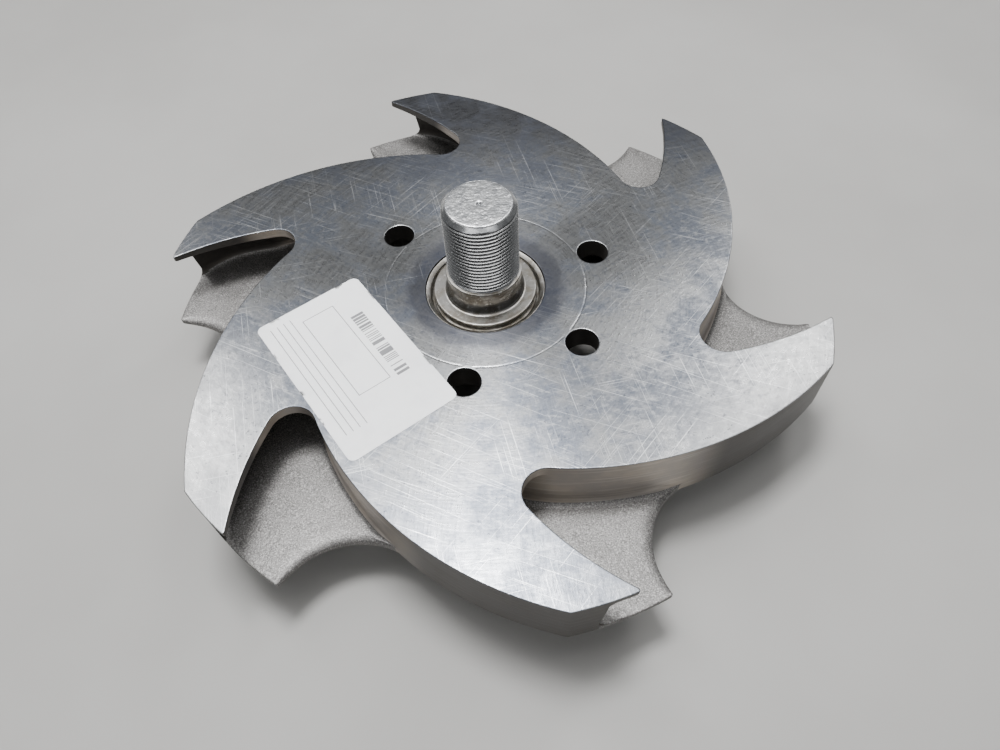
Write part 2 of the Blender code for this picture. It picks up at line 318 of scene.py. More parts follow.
def distance(points, loop):
    """Distance of each point from the nearest segment of a closed loop."""
    a, b = loop, np.roll(loop, -1, axis=0)
    ab = b - a
    length = (ab ** 2).sum(axis=1)
    best = np.full(len(points), np.inf)
    for start in range(0, len(points), 4000):
        p = points[start:start + 4000, None, :] - a[None]
        t = np.clip((p * ab).sum(axis=2) / length, 0, 1)
        gap = p - t[..., None] * ab
        best[start:start + 4000] = np.sqrt((gap ** 2).sum(axis=2).min(axis=1))
    return best


def vane_distance(points, loop):
    """Distance from the nearest vane, zero inside one."""
    best = np.full(len(points), np.inf)
    for k in range(ARMS):
        vane = turned_plan(loop, FIRST_TIP - TIP + k * STEP)
        away = distance(points, vane)
        away[inside(points, vane)] = 0
        best = np.minimum(best, away)
    return best


def profile_height(profile, points):
    """Height of a turned profile, eased between its points."""
    radius = np.linalg.norm(points, axis=1)
    knots = np.array(profile) * MM
    total = np.zeros(len(radius))
    spread = 2.5 * MM
    for shift in (-1, -0.5, 0, 0.5, 1):
        total += np.interp(radius + shift * spread, knots[:, 0], knots[:, 1])
    return total / 5


def waviness(points, size, amount, shift=0.0):
    """Slow unevenness of a cast surface."""
    return np.array([
        amount * noise.noise(Vector((x / size, y / size, shift)) + SEED_SHIFT) for x, y in points])


def floor_height(points):
    return profile_height(FLOOR, points)


def outside_height(points):
    return profile_height(OUTSIDE, points)


def underside_height(points):
    return profile_height(UNDERSIDE, points)


# Meshes

def loop_normals(loop):
    """Inward mitre directions of a counterclockwise loop."""
    ahead = np.roll(loop, -1, axis=0) - loop
    ahead /= np.linalg.norm(ahead, axis=1)[:, None]
    left = np.stack([-ahead[:, 1], ahead[:, 0]], axis=1)
    before = np.roll(left, 1, axis=0)
    total = left + before
    return total / np.maximum(1 + (left * before).sum(axis=1), 0.3)[:, None]


def circle(radius, count, centre=(0, 0)):
    angles = np.arange(count) * 2 * math.pi / count
    return np.stack([centre[0] + radius * np.cos(angles), centre[1] + radius * np.sin(angles)], axis=1)


def hexagonal(spacing, reach=RIM_RADIUS):
    rows = []
    height = spacing * math.sqrt(3) / 2
    for j in range(int(-reach / height), int(reach / height) + 1):
        xs = np.arange(-reach, reach, spacing) + (spacing / 2 if j % 2 else 0)
        rows.append(np.stack([xs, np.full(len(xs), j * height)], axis=1))
    return np.vstack(rows)


def fill(loops, extra):
    """Triangles of the region in the first loop and outside the others.

    Returns plan points, with the loops' own points first, and the triangles.
    """
    points = np.vstack(loops + [extra])
    edges, start = [], 0
    for loop in loops:
        count = len(loop)
        edges += [(start + i, start + (i + 1) % count) for i in range(count)]
        start += count
    made = delaunay_2d_cdt([Vector(p) for p in points], edges, [], 0, 1e-9)
    spots = np.array([(v.x, v.y) for v in made[0]])
    if len(spots) < len(points):
        raise RuntimeError("points of a fill fell together")
    tris = np.array([f for f in made[2] if len(f) == 3])
    centres = spots[tris].mean(axis=1)
    keep = inside(centres, loops[0])
    for hole in loops[1:]:
        keep &= ~inside(centres, hole)
    tris = tris[keep]
    a, b, c = spots[tris[:, 0]], spots[tris[:, 1]], spots[tris[:, 2]]
    turn = (b[:, 0] - a[:, 0]) * (c[:, 1] - a[:, 1]) - (b[:, 1] - a[:, 1]) * (c[:, 0] - a[:, 0])
    tris[turn < 0] = tris[turn < 0][:, ::-1]
    return spots, tris


class Shape:
    """Collects points and faces of one piece."""

    def __init__(self):
        self.points, self.faces, self.slots, self.count = [], [], [], 0

    def add(self, points):
        start = self.count
        self.points.append(np.asarray(points, float).reshape(-1, 3))
        self.count += len(self.points[-1])
        return start

    def face(self, indices, slot=0):
        self.faces.append(tuple(int(i) for i in indices))
        self.slots.append(slot)

    def band(self, upper, lower, count, slot=0):
        """Quads between two closed rings of points, facing out for a counterclockwise ring."""
        for i in range(count):
            j = (i + 1) % count
            self.face((upper + i, lower + i, lower + j, upper + j), slot)

    def make(self, name, materials, sharp=35, choose=None):
        mesh = bpy.data.meshes.new(name)
        mesh.from_pydata(np.vstack(self.points).tolist(), [], self.faces)
        for index, slot in enumerate(self.slots):
            mesh.polygons[index].material_index = slot
        for material in materials:
            mesh.materials.append(material)
        shape = bmesh.new()
        shape.from_mesh(mesh)
        bmesh.ops.remove_doubles(shape, verts=shape.verts, dist=MERGE)
        bmesh.ops.dissolve_degenerate(shape, dist=MERGE, edges=shape.edges)
        loose = [v for v in shape.verts if not v.link_faces]
        bmesh.ops.delete(shape, geom=loose, context="VERTS")
        if choose:
            shape.normal_update()
            for face in shape.faces:
                face.material_index = choose(face.calc_center_median() / MM, face.normal)
        shape.to_mesh(mesh)
        shape.free()
        mesh.shade_smooth()
        mesh.set_sharp_from_angle(angle=math.radians(sharp))
        item = bpy.data.objects.new(name, mesh)
        bpy.context.scene.collection.objects.link(item)
        return item


def with_height(plan, heights):
    return np.column_stack([plan, heights])


def edge_rings(shape, loop, fields, breaks, steps, slots, support=SUPPORT, shelf=0.0, spread=1.0):
    """Rolls the edge of a plate from its top to its underside.

    Fields and breaks come as a pair for the top and the underside. A break is the rounding's
    depth at each point, and spread is how much wider than deep it is at the top. A shelf is
    a flat strip of the top inside the rounding. Returns the first and last ring's plan.
    """
    normals = loop_normals(loop)
    count = len(loop)
    rings = []
    for field, depth, sign, wide in ((fields[0], breaks[0], -1, spread), (fields[1], breaks[1], 1, 1)):
        run = []
        if shelf and sign < 0:
            plan = loop + normals * (depth + shelf)[:, None]
            run.append((plan, field(plan)))
        for j in range(steps + 1):
            angle = j / steps * math.pi / 2
            plan = loop + normals * (wide * depth * (1 - math.sin(angle)))[:, None]
            run.append((plan, field(plan) + sign * depth * (1 - math.cos(angle))))
        run.append((loop, run[-1][1] + sign * support))
        rings += run if sign < 0 else run[::-1]
    starts = [shape.add(with_height(*ring)) for ring in rings]
    top_count = steps + (1 if shelf else 0)
    for index, (upper, lower) in enumerate(zip(starts, starts[1:])):
        shape.band(upper, lower, count, slots[0] if index < top_count else slots[1])
    return rings[0], rings[-1]


def cap(shape, loops, field, spacing, slot, up, margin, extra=None):
    """Covers the region between loops with an even mesh that follows a height field."""
    grid = hexagonal(spacing)
    if extra is not None:
        near = np.vstack(loops)
        crowd = np.full(len(grid), True)
        for start in range(0, len(grid), 4000):
            part = grid[start:start + 4000]
            gap = ((part[:, None] - extra[None, ::3]) ** 2).sum(axis=2).min(axis=1)
            crowd[start:start + 4000] = gap > (0.8 * spacing) ** 2
        grid = np.vstack([grid[crowd], extra])
    keep = inside(grid, loops[0])
    for hole in loops[1:]:
        keep &= ~inside(grid, hole)
    grid = grid[keep]
    keep = np.full(len(grid), True)
    for loop in loops:
        keep &= distance(grid, loop) > margin
    spots, tris = fill(loops, grid[keep])
    start = shape.add(with_height(spots, field(spots)))
    for tri in tris:
        order = tri if up else tri[::-1]
        shape.face([start + i for i in order], slot)


def back_plate(materials):
    shape = Shape()
    loop = BACK_OUTLINE
    top = lambda p: np.full(len(p), TOP_HEIGHT)
    free = np.clip((vane_distance(loop, VANE_HEAD) - 0.2 * MM) / (2 * MM), 0, 1)
    sides = (top, underside_height)
    first, last = edge_rings(
        shape, loop, sides, (np.full(len(loop), 0.45 * MM), 0.8 * MM * free), 4, (0, 1),
        shelf=0.5 * MM)
    top_loops, bottom_loops = [first[0]], [last[0]]
    bores = [(circle(RECESS_RADIUS, 160), 0.3 * MM)]
    for k in range(ARMS):
        centre = polar(HOLE_CIRCLE, HOLE_ANGLE + k * STEP)
        bores.append((circle(HOLE_RADIUS, 48, centre), 0.5 * MM))
    for bore, chamfer in bores:
        ring = bore[::-1]
        breaks = np.full(len(ring), chamfer)
        upper, lower = edge_rings(
            shape, ring, sides, (breaks, breaks * 0), 3, (0, 1), shelf=0.5 * MM)
        top_loops.append(upper[0])
        bottom_loops.append(lower[0])
    scribe = np.vstack([
        circle(SCRIBE_RADIUS + d * MM, 180) for d in (-1.0, -0.25, -0.08, 0.08, 0.25, 1.0)])

    def scribed_top(p):
        away = abs(np.linalg.norm(p, axis=1) - SCRIBE_RADIUS) / MM
        return TOP_HEIGHT - 0.06 * MM * np.clip((0.25 - away) / 0.17, 0, 1)

    cap(shape, top_loops, scribed_top, 5 * MM, 0, True, 0.6 * MM, scribe)
    cap(shape, bottom_loops, underside_height, 5 * MM, 1, False, 1.2 * MM)
    return shape.make("back_plate", materials)


def lower_plate(materials):
    shape = Shape()
    loop = LOWER_OUTLINE
    radius = np.linalg.norm(loop, axis=1)
    thick = profile_height(FLOOR, loop) - outside_height(loop)
    wall = vane_distance(loop, VANE_FOOT)
    at_rim = np.clip((RIM_RADIUS - radius - 0.2 * MM) / (9 * MM), 0, 1)
    free = np.clip((wall - 0.3 * MM) / (14 * MM), 0, 1)
    bull = np.minimum(thick * 0.55, 0.4 * MM + 3 * MM * at_rim) * np.minimum(free * 3, 1) ** 0.7
    low = np.clip(thick * 0.9 - bull, 0, 0.6 * MM)
    first, last = edge_rings(
        shape, loop, (floor_height, outside_height), (bull, low), 8, (0, 0), spread=2.4)
    flush = loop[free <= 0]

    def flush_wall(at, normal):
        """The wall finish on the edge below a vane and on the machined rim."""
        near = np.abs(flush / MM - np.array((at.x, at.y))).sum(axis=1).min() < 2.0
        return int(abs(normal.z) < 0.7 and at.xy.length > 95 and bool(near))

    eye = circle(78.5 * MM, 160)[::-1]
    shoulder = circle(88 * MM, 160)[::-1]
    cap(shape, [first[0], eye], floor_height, 3 * MM, 0, True, 0.8 * MM)
    cap(shape, [last[0], shoulder], outside_height, 4 * MM, 0, False, 0.8 * MM)
    top_ring = shape.add(with_height(eye, floor_height(eye)))
    inner = shape.add(with_height(eye, np.full(len(eye), 20 * MM)))
    outer = shape.add(with_height(shoulder, outside_height(shoulder)))
    shape.band(top_ring, inner, len(eye))
    shape.band(inner, outer, len(eye))
    return shape.make("lower_plate", materials, choose=flush_wall)


def vane_skirt(plan, outline, radius):
    """Fillet radius at each point of a vane's plan, and the way that it flares.

    It runs out where the wall is flush with the plate's edge, and stops at the rim.
    """
    outward = -loop_normals(plan)
    room = distance(plan, outline)
    reach = np.clip(room * 0.9 - 0.25 * MM, 0, radius)
    far = np.linalg.norm(plan, axis=1)
    order = np.arange(len(plan))
    behind = order > np.argmax(far > RIM_RADIUS - 0.01 * MM) + VANE_RIM_STEPS - 1
    reach[behind] = radius
    at_rim = (far > RIM_RADIUS - 0.01 * MM) & ~behind
    reach[at_rim] = 0
    return reach, outward


def clipped(plan):
    """Plan points brought back to the machined rim."""
    far = np.linalg.norm(plan, axis=1)
    return plan * np.minimum(1, RIM_RADIUS / np.maximum(far, 1e-9))[:, None]


def vane(number, materials):
    shape = Shape()
    turn = FIRST_TIP - TIP + (number - 1) * STEP
    foot, head = turned_plan(VANE_FOOT, turn), turned_plan(VANE_HEAD, turn)
    foot_reach, foot_out = vane_skirt(foot, LOWER_OUTLINE, FLOOR_FILLET)
    head_reach, head_out = vane_skirt(head, BACK_OUTLINE, CEILING_FILLET)
    rings = []
    steps = 8
    for j in range(steps + 1):
        angle = j / steps * math.pi / 2
        plan = clipped(foot + foot_out * (foot_reach * (1 - math.sin(angle)))[:, None])
        rings.append((plan, profile_height(FLOOR, plan) + foot_reach * (1 - math.cos(angle))))
    rings[0] = (rings[0][0], rings[0][1] - 0.02 * MM * (foot_reach > 0))
    low, high = rings[-1][1], profile_height(UNDERSIDE, head) - head_reach
    rows = 6
    for i in range(1, rows):
        t = i / rows
        rings.append((foot + (head - foot) * t, low + (high - low) * t))
    for j in range(steps, -1, -1):
        angle = j / steps * math.pi / 2
        plan = clipped(head + head_out * (head_reach * (1 - math.sin(angle)))[:, None])
        rings.append((plan, profile_height(UNDERSIDE, plan) - head_reach * (1 - math.cos(angle))))
    starts = [shape.add(with_height(*ring)) for ring in rings]
    count = len(foot)
    for lower, upper in zip(starts, starts[1:]):
        shape.band(upper, lower, count)
    for start, plan, up in ((starts[-1], rings[-1][0], True), (starts[0], rings[0][0], False)):
        spots, tris = fill([plan], np.empty((0, 2)))
        for tri in tris:
            order = tri if up else tri[::-1]
            shape.face([start + i for i in order])
    return shape.make(
        f"vane_wall_{number}", materials, choose=lambda at, n: int(n.z > 0.75))


def rounded_profile(corners):
    """(radius, height, rounding) corners in mm to a smooth run of points."""
    run = []
    for i, (r, z, rounding) in enumerate(corners):
        here = Vector((r, z))
        if rounding == 0 or i in (0, len(corners) - 1):
            run.append(here)
            continue
        before, after = Vector(corners[i - 1][:2]), Vector(corners[i + 1][:2])
        a = here + (before - here).normalized() * min(rounding, (before - here).length * 0.48)
        b = here + (after - here).normalized() * min(rounding, (after - here).length * 0.48)
        run += [a.lerp(here, t).lerp(here.lerp(b, t), t) for t in np.linspace(0, 1, 6)]
    return [(p.x * MM, p.y * MM) for p in run]


def turned(shape, profile, count, closed=False, slots=None):
    """Turns a profile that runs down its outer side."""
    starts = []
    for r, z in profile:
        ring = circle(r, count) if r > 0 else np.zeros((count, 2))
        starts.append(shape.add(with_height(ring, np.full(count, z))))
    pairs = list(zip(starts, starts[1:]))
    if closed:
        pairs.append((starts[-1], starts[0]))
    for i, (upper, lower) in enumerate(pairs):
        shape.band(upper, lower, count, slots[i] if slots else 0)


def eye_ring(materials):
    shape = Shape()
    profile = rounded_profile([
        (83, 20, 0), (88, 20, 0.3), (88, 1.6, 0.8), (86.4, 0, 0.8), (78, 0, 0.8), (76, 1.2, 0.8),
        (76, 12, 3), (78.5, 20, 0.3), (83, 20, 0)])[:-1]
    turned(shape, profile, 192, True)
    return shape.make("eye_ring_turned", materials)


def hub(materials):
    shape = Shape()
    profile = rounded_profile([
        (0, 67.7, 0), (32.2, 67.7, 0), (33.2, 68.4, 0.4), (33.2, 72.6, 0.5), (35.9, 74.1, 0.4),
        (36.3, 73.6, 0.2), (36.3, 55.8, 0), (50, 55.9, 0.6), (45.5, 50, 5), (37, 42.5, 5),
        (28, 36.5, 6), (18, 32.8, 6), (9, 31.2, 5), (0, 31, 0)])
    turned(shape, profile, 160)
    return shape.make("hub_nose", materials, choose=lambda at, n: int(at.z > 60))


# Thread of the stub, in mm
STUB_TOP = 140.4
THREAD_TOP_RADIUS = 21.2
THREAD_DEPTH = 1.45
THREAD_PITCH = 2.5
THREAD_FOOT = 91.6
CHAMFER = 3.2
END_RADIUS = 18.2


def thread_radius(z, turn_share):
    """Radius of the threaded part, with the end chamfer and the run-out at the band."""
    phase = ((z / THREAD_PITCH) - turn_share) % 1.0
    flank = abs(phase - 0.5) * 2
    crest = np.clip((flank - 0.12) / 0.76, 0, 1)
    cut_depth = THREAD_DEPTH * crest
    fade = np.clip((z - THREAD_FOOT - 0.3) / 2.2, 0, 1)
    radius = THREAD_TOP_RADIUS - cut_depth * fade
    cone = END_RADIUS + (STUB_TOP - z) * (THREAD_TOP_RADIUS - END_RADIUS) / CHAMFER
    return np.minimum(radius, cone)


def stub(materials):
    shape = Shape()
    count = 96
    share = np.arange(count + 1) / count
    angles = share * 2 * math.pi
    cos, sin = np.cos(angles), np.sin(angles)
    rings = []

    def ring(radius, height):
        radius = np.broadcast_to(radius, count + 1)
        height = np.broadcast_to(height, count + 1)
        rings.append(shape.add(np.column_stack([radius * cos, radius * sin, height]) * MM))

    for r, z in ((0, 139.2), (0.5, 139.3), (1.5, 140.25), (1.8, 140.38), (2.2, 140.4), (9, 140.4),
                 (17.2, 140.4), (17.7, 140.38), (18.0, 140.3), (18.15, 140.2)):
        ring(r, z)
    per_turn = 10
    first = int((STUB_TOP / THREAD_PITCH + 2) * per_turn)
    last = int((THREAD_FOOT / THREAD_PITCH - 2) * per_turn)
    for j in range(first, last, -1):
        height = np.clip((j / per_turn + share) * THREAD_PITCH, THREAD_FOOT, STUB_TOP - 0.02)
        ring(thread_radius(height, share), height)
    rest = rounded_profile([
        (21.2, 91.55, 0), (22.5, 91.4, 0.35), (22.5, 87.6, 0.4), (20.4, 87.4, 0.3), (20.4, 83.4, 1.2),
        (20.8, 79.6, 2.2), (23.4, 75.6, 0.8), (24.0, 75.15, 0.3), (24.6, 75.0, 0.3), (30.6, 75.0, 0.4),
        (31.0, 74.6, 0.3), (31.0, 68.0, 0), (0, 68.0, 0)])
    for r, z in rest:
        ring(r / MM, z / MM)
    for upper, lower in zip(rings, rings[1:]):
        for i in range(count):
            shape.face((upper + i, lower + i, lower + i + 1, upper + i + 1))
    return shape.make(
        "stub_thread", materials, sharp=28,
        choose=lambda at, n: 0 if at.z > 91.5 else 1 if at.z < 76.2 or at.z > 90.4 else 2)


def label_sheet(materials):
    shape = Shape()
    corners = []
    for quarter in range(4):
        sign = ((1, 1), (-1, 1), (-1, -1), (1, -1))[quarter]
        centre = Vector((sign[0] * (LABEL_LENGTH / 2 - LABEL_CORNER),
                         sign[1] * (LABEL_WIDTH / 2 - LABEL_CORNER)))
        start = quarter * math.pi / 2
        corners += samples(lambda a: centre + polar(LABEL_CORNER, a), start, start + math.pi / 2, 8)
    run = []
    for a, b in zip(corners, corners[1:] + corners[:1]):
        steps = max(1, round((b - a).length / (2 * MM)))
        run += [a.lerp(b, i / steps) for i in range(steps)]
    flat = plan_array(run)
    where = np.array(LABEL_CENTRE)
    loop = turned_plan(flat, LABEL_TURN) + where

    def sheet(p):
        edge = np.clip(distance(p, loop) / (3 * MM), 0, 1)
        lift = waviness(p, 22 * MM, 0.10 * MM) + 0.05 * MM
        return TOP_HEIGHT + 0.16 * MM + np.clip(lift, 0, None) * (1 - 0.5 * edge)

    base = lambda p: np.full(len(p), TOP_HEIGHT + 0.01 * MM)
    breaks = np.full(len(loop), 0.05 * MM)
    first, last = edge_rings(shape, loop, (sheet, base), (breaks, breaks * 0), 2, (0, 0), 0.02 * MM)
    cap(shape, [first[0]], sheet, 3 * MM, 0, True, 0.8 * MM)
    cap(shape, [last[0]], base, 20 * MM, 0, False, 3 * MM)
    return shape.make("label_sheet", materials, sharp=50)


# Materials. Every pattern is laid out in the part's own coordinates, in metres.

class Graph:
    """Short calls for building one material's nodes."""

    def __init__(self, name):
        self.material = bpy.data.materials.new(name)
        self.material.use_nodes = True
        self.tree = self.material.node_tree
        self.shader = self.tree.nodes["Principled BSDF"]
        place = self.tree.nodes.new("ShaderNodeTexCoord").outputs["Object"]
        split = self.tree.nodes.new("ShaderNodeSeparateXYZ")
        self.tree.links.new(place, split.inputs[0])
        self.place = place
        self.x, self.y, self.z = split.outputs
        self.radius = self.math("SQRT", self.math(
            "ADD", self.math("MULTIPLY", self.x, self.x), self.math("MULTIPLY", self.y, self.y)))

    def put(self, value, socket):
        if isinstance(value, bpy.types.NodeSocket):
            self.tree.links.new(value, socket)
        elif isinstance(value, tuple) and socket.type == "RGBA":
            socket.default_value = (*value, 1)
        else:
            socket.default_value = value

    def math(self, operation, a, b=0.0, clamp=False):
        node = self.tree.nodes.new("ShaderNodeMath")
        node.operation = operation
        node.use_clamp = clamp
        self.put(a, node.inputs[0])
        self.put(b, node.inputs[1])
        return node.outputs[0]

    def vector(self, x, y, z):
        node = self.tree.nodes.new("ShaderNodeCombineXYZ")
        for value, socket in zip((x, y, z), node.inputs):
            self.put(value, socket)
        return node.outputs[0]

    def scaled(self, x, y, z):
        """The part's coordinates, each multiplied."""
        return self.vector(
            self.math("MULTIPLY", self.x, x), self.math("MULTIPLY", self.y, y),
            self.math("MULTIPLY", self.z, z))

    def arcs(self, centre, across, along):
        """Coordinates in which a noise becomes streaks on circles around a centre."""
        dx = self.math("SUBTRACT", self.x, centre[0])
        dy = self.math("SUBTRACT", self.y, centre[1])
        away = self.math("SQRT", self.math(
            "ADD", self.math("MULTIPLY", dx, dx), self.math("MULTIPLY", dy, dy)))
        away = self.math("ADD", away, 1e-5)
        return self.vector(
            self.math("MULTIPLY", away, across),
            self.math("MULTIPLY", self.math("DIVIDE", dx, away), along),
            self.math("MULTIPLY", self.math("DIVIDE", dy, away), along))

    def noise(self, vector, scale=1.0, detail=2.0, rough=0.5, distortion=0.0):
        node = self.tree.nodes.new("ShaderNodeTexNoise")
        self.put(vector, node.inputs["Vector"])
        for name, value in (("Scale", scale), ("Detail", detail), ("Roughness", rough),
                            ("Distortion", distortion)):
            node.inputs[name].default_value = value
        return node.outputs["Fac"]

    def ramp(self, value, low, high, to_low=0.0, to_high=1.0, smooth=True):
        node = self.tree.nodes.new("ShaderNodeMapRange")
        node.interpolation_type = "SMOOTHSTEP" if smooth else "LINEAR"
        for socket, item in zip(node.inputs[:5], (value, low, high, to_low, to_high)):
            self.put(item, socket)
        return node.outputs[0]

    def mix(self, factor, a, b, blend="MIX"):
        node = self.tree.nodes.new("ShaderNodeMix")
        node.data_type = "RGBA"
        node.blend_type = blend
        self.put(factor, node.inputs["Factor"])
        colours = [s for s in node.inputs if s.type == "RGBA"]
        self.put(a, colours[0])
        self.put(b, colours[1])
        return [s for s in node.outputs if s.type == "RGBA"][0]

    def total(self, *terms):
        """Sum of (socket, weight) terms."""
        whole = None
        for socket, weight in terms:
            part = self.math("MULTIPLY", socket, weight)
            whole = part if whole is None else self.math("ADD", whole, part)
        return whole

    def bump(self, height, depth, strength=1.0):
        node = self.tree.nodes.new("ShaderNodeBump")
        node.inputs["Strength"].default_value = strength
        node.inputs["Distance"].default_value = depth
        self.put(height, node.inputs["Height"])
        self.tree.links.new(node.outputs[0], self.shader.inputs["Normal"])

    def brushed(self, amount):
        """Stretches reflections away from the shaft, as turned marks do."""
        self.shader.inputs["Anisotropic"].default_value = amount
        self.tree.links.new(self.vector(self.x, self.y, 0.0), self.shader.inputs["Tangent"])

    def scratches(self, degrees, along, across, shift):
        """Straight scratches that run one way, in some areas only."""
        c, s = math.cos(math.radians(degrees)), math.sin(math.radians(degrees))
        u = self.total((self.x, along * c), (self.y, along * s))
        v = self.total((self.x, -across * s), (self.y, across * c))
        lines = self.ramp(self.noise(self.vector(u, v, shift), 1, 1), 0.66, 0.74)
        area = self.noise(self.vector(self.x, self.y, shift), 17, 2)
        return self.math("MULTIPLY", lines, self.ramp(area, 0.46, 0.58))

    def finish(self, colour, rough, metallic=1.0):
        self.put(colour, self.shader.inputs["Base Color"])
        self.put(rough, self.shader.inputs["Roughness"])
        self.shader.inputs["Metallic"].default_value = metallic
        return self.material


def machined_steel():
    g = Graph("machined_face")
    g.brushed(0.5)
    turned_marks = g.noise(g.arcs((0, 0), 900, 9), 1, 3, 0.6)
    sweep_one = g.noise(g.arcs((0.21, -0.17), 620, 22), 1, 3, 0.65)
    sweep_two = g.noise(g.arcs((-0.24, -0.12), 700, 26), 1, 3, 0.65)
    cloud = g.noise(g.place, 15, 3, 0.55, 0.3)
    blotch = g.noise(g.place, 65, 4, 0.65, 0.4)
    mottle = g.noise(g.arcs((0.1, 0.25), 330, 60), 1, 4, 0.7)
    fine = g.noise(g.place, 620, 2, 0.6)
    patch = g.ramp(g.total((cloud, 0.6), (blotch, 0.4)), 0.43, 0.58)
    streak = g.ramp(g.total((turned_marks, 0.35), (sweep_one, 0.4), (sweep_two, 0.25)), 0.38, 0.62)
    uneven = g.total((cloud, 0.12), (blotch, 0.08))
    # Darker towards the far side (+y) of the face: painted shade. The scratches fade there too.
    far_side_painted_shade = g.ramp(g.math("ADD", g.y, uneven), 0.15, 0.27)
    sideways = g.ramp(g.math("ABSOLUTE", g.x), 0.03, 0.13, 0.25, 1.0)
    # Lighter arm tips on the near side (-y): painted highlight.
    lightened = g.math("MULTIPLY", g.ramp(g.math("ADD", g.radius, uneven), 0.235, 0.285),
                  g.math("MULTIPLY", g.ramp(g.y, 0.0, -0.06), sideways))
    colour = g.mix(patch, (0.32, 0.325, 0.33), (0.135, 0.15, 0.18))
    colour = g.mix(g.ramp(mottle, 0.52, 0.66, 0.0, 0.6), colour, (0.085, 0.095, 0.12))
    colour = g.mix(g.ramp(mottle, 0.48, 0.34, 0.0, 0.5), colour, (0.44, 0.445, 0.45))
    colour = g.mix(g.math("MULTIPLY", streak, 0.2), colour, (0.42, 0.425, 0.43))
    colour = g.mix(g.math("MULTIPLY", lightened, 0.6), colour, (0.58, 0.58, 0.575))
    colour = g.mix(g.math("MULTIPLY", far_side_painted_shade, 0.72), colour, (0.055, 0.058, 0.070))
    # Darker middle of the near arm: painted shade.
    middle = g.math("MULTIPLY", g.ramp(g.y, -0.10, -0.15), g.ramp(sideways, 0.7, 0.3))
    colour = g.mix(g.math("MULTIPLY", middle, 0.45), colour, (0.10, 0.115, 0.145))
    lines = None
    for degrees, shift in ((8, 0.0), (-24, 0.7), (47, 1.9), (101, 3.3), (150, 5.2)):
        run = g.scratches(degrees, 15, 1800, shift)
        lines = run if lines is None else g.math("MAXIMUM", lines, run)
    lines = g.math("MULTIPLY", lines, g.ramp(far_side_painted_shade, 0.0, 1.0, 0.6, 0.15))
    colour = g.mix(lines, colour, (0.80, 0.81, 0.82))
    specks = g.math("MULTIPLY", g.ramp(fine, 0.60, 0.70), g.ramp(blotch, 0.46, 0.60))
    colour = g.mix(g.math("MULTIPLY", specks, 0.65), colour, (0.05, 0.055, 0.07))
    ring_edge = g.total((g.radius, 1.0), (blotch, 0.012), (g.noise(g.place, 300, 3, 0.7), 0.008))
    stain = g.ramp(ring_edge, 0.0650, 0.0530)
    colour = g.mix(g.math("MULTIPLY", stain, 0.8), colour, (0.035, 0.038, 0.052))
    rough = g.total((patch, 0.08), (streak, -0.05), (stain, 0.12), (mottle, 0.16))
    rough = g.math("ADD", rough, 0.24)
    height = g.total((turned_marks, 0.5), (sweep_one, 0.6), (sweep_two, 0.4))
    g.bump(height, 0.00010)
    return g.finish(colour, rough)


def cast_steel():
    g = Graph("cast_skin")
    grain = g.noise(g.place, 1300, 2, 0.6)
    coarse = g.noise(g.place, 420, 3, 0.6)
    cloud = g.noise(g.place, 26, 4, 0.6)
    colour = g.mix(g.ramp(cloud, 0.35, 0.65), (0.145, 0.141, 0.137), (0.20, 0.195, 0.19))
    colour = g.mix(g.ramp(grain, 0.52, 0.66, 0.0, 0.65), colour, (0.42, 0.41, 0.40))
    colour = g.mix(g.ramp(grain, 0.47, 0.34, 0.0, 0.7), colour, (0.06, 0.057, 0.055))
    colour = g.mix(g.ramp(coarse, 0.44, 0.30, 0.0, 0.3), colour, (0.09, 0.087, 0.085))
    rough = g.math("ADD", g.math("MULTIPLY", cloud, 0.12), 0.44)
    g.bump(g.total((grain, 1.0), (coarse, 0.7), (cloud, 3.0)), 0.00016)
    return g.finish(colour, rough, 0.6)


def wall_steel():
    g = Graph("ground_wall")
    drawn = g.noise(g.scaled(22, 22, 620), 1, 3, 0.6)
    grain = g.noise(g.place, 500, 2, 0.5)
    cloud = g.noise(g.place, 26, 4, 0.6)
    colour = g.mix(g.ramp(cloud, 0.38, 0.64), (0.40, 0.365, 0.335), (0.54, 0.475, 0.40))
    colour = g.mix(g.ramp(drawn, 0.50, 0.70, 0.0, 0.55), colour, (0.72, 0.67, 0.61))
    # Walls darker towards the rim and towards the hub: painted shade. The lighter brown left between them
    # is the walls' tone, lightened as painted bounce light from the lobes.
    outer = g.ramp(g.radius, 0.154, 0.170, 0.0, 0.94)
    inner = g.ramp(g.radius, 0.120, 0.100, 0.0, 0.94)
    colour = g.mix(g.math("MAXIMUM", outer, inner), colour, (0.045, 0.043, 0.041))
    rough = g.math("ADD", g.total((cloud, 0.2), (drawn, 0.1)), 0.28)
    g.bump(g.total((drawn, 0.8), (grain, 0.3)), 0.00012)
    return g.finish(colour, rough, 0.6)


def turned_steel(name, rings, tint, rough_base):
    g = Graph(name)
    marks = g.noise(g.vector(g.math("MULTIPLY", g.radius, rings), 0.3, g.math(
        "MULTIPLY", g.z, rings)), 1, 2, 0.5)
    blotch = g.noise(g.place, 130, 4, 0.65)
    fine = g.noise(g.place, 500, 2, 0.6)
    colour = g.mix(g.ramp(blotch, 0.40, 0.62), tint, (0.60 * tint[0], 0.57 * tint[1], 0.52 * tint[2]))
    colour = g.mix(g.ramp(fine, 0.60, 0.72, 0.0, 0.4), colour, (0.85, 0.85, 0.84))
    rough = g.math("ADD", g.math("MULTIPLY", blotch, 0.22), rough_base)
    g.bump(g.total((marks, 0.8), (blotch, 0.3)), 0.00006)
    return g.finish(colour, rough)


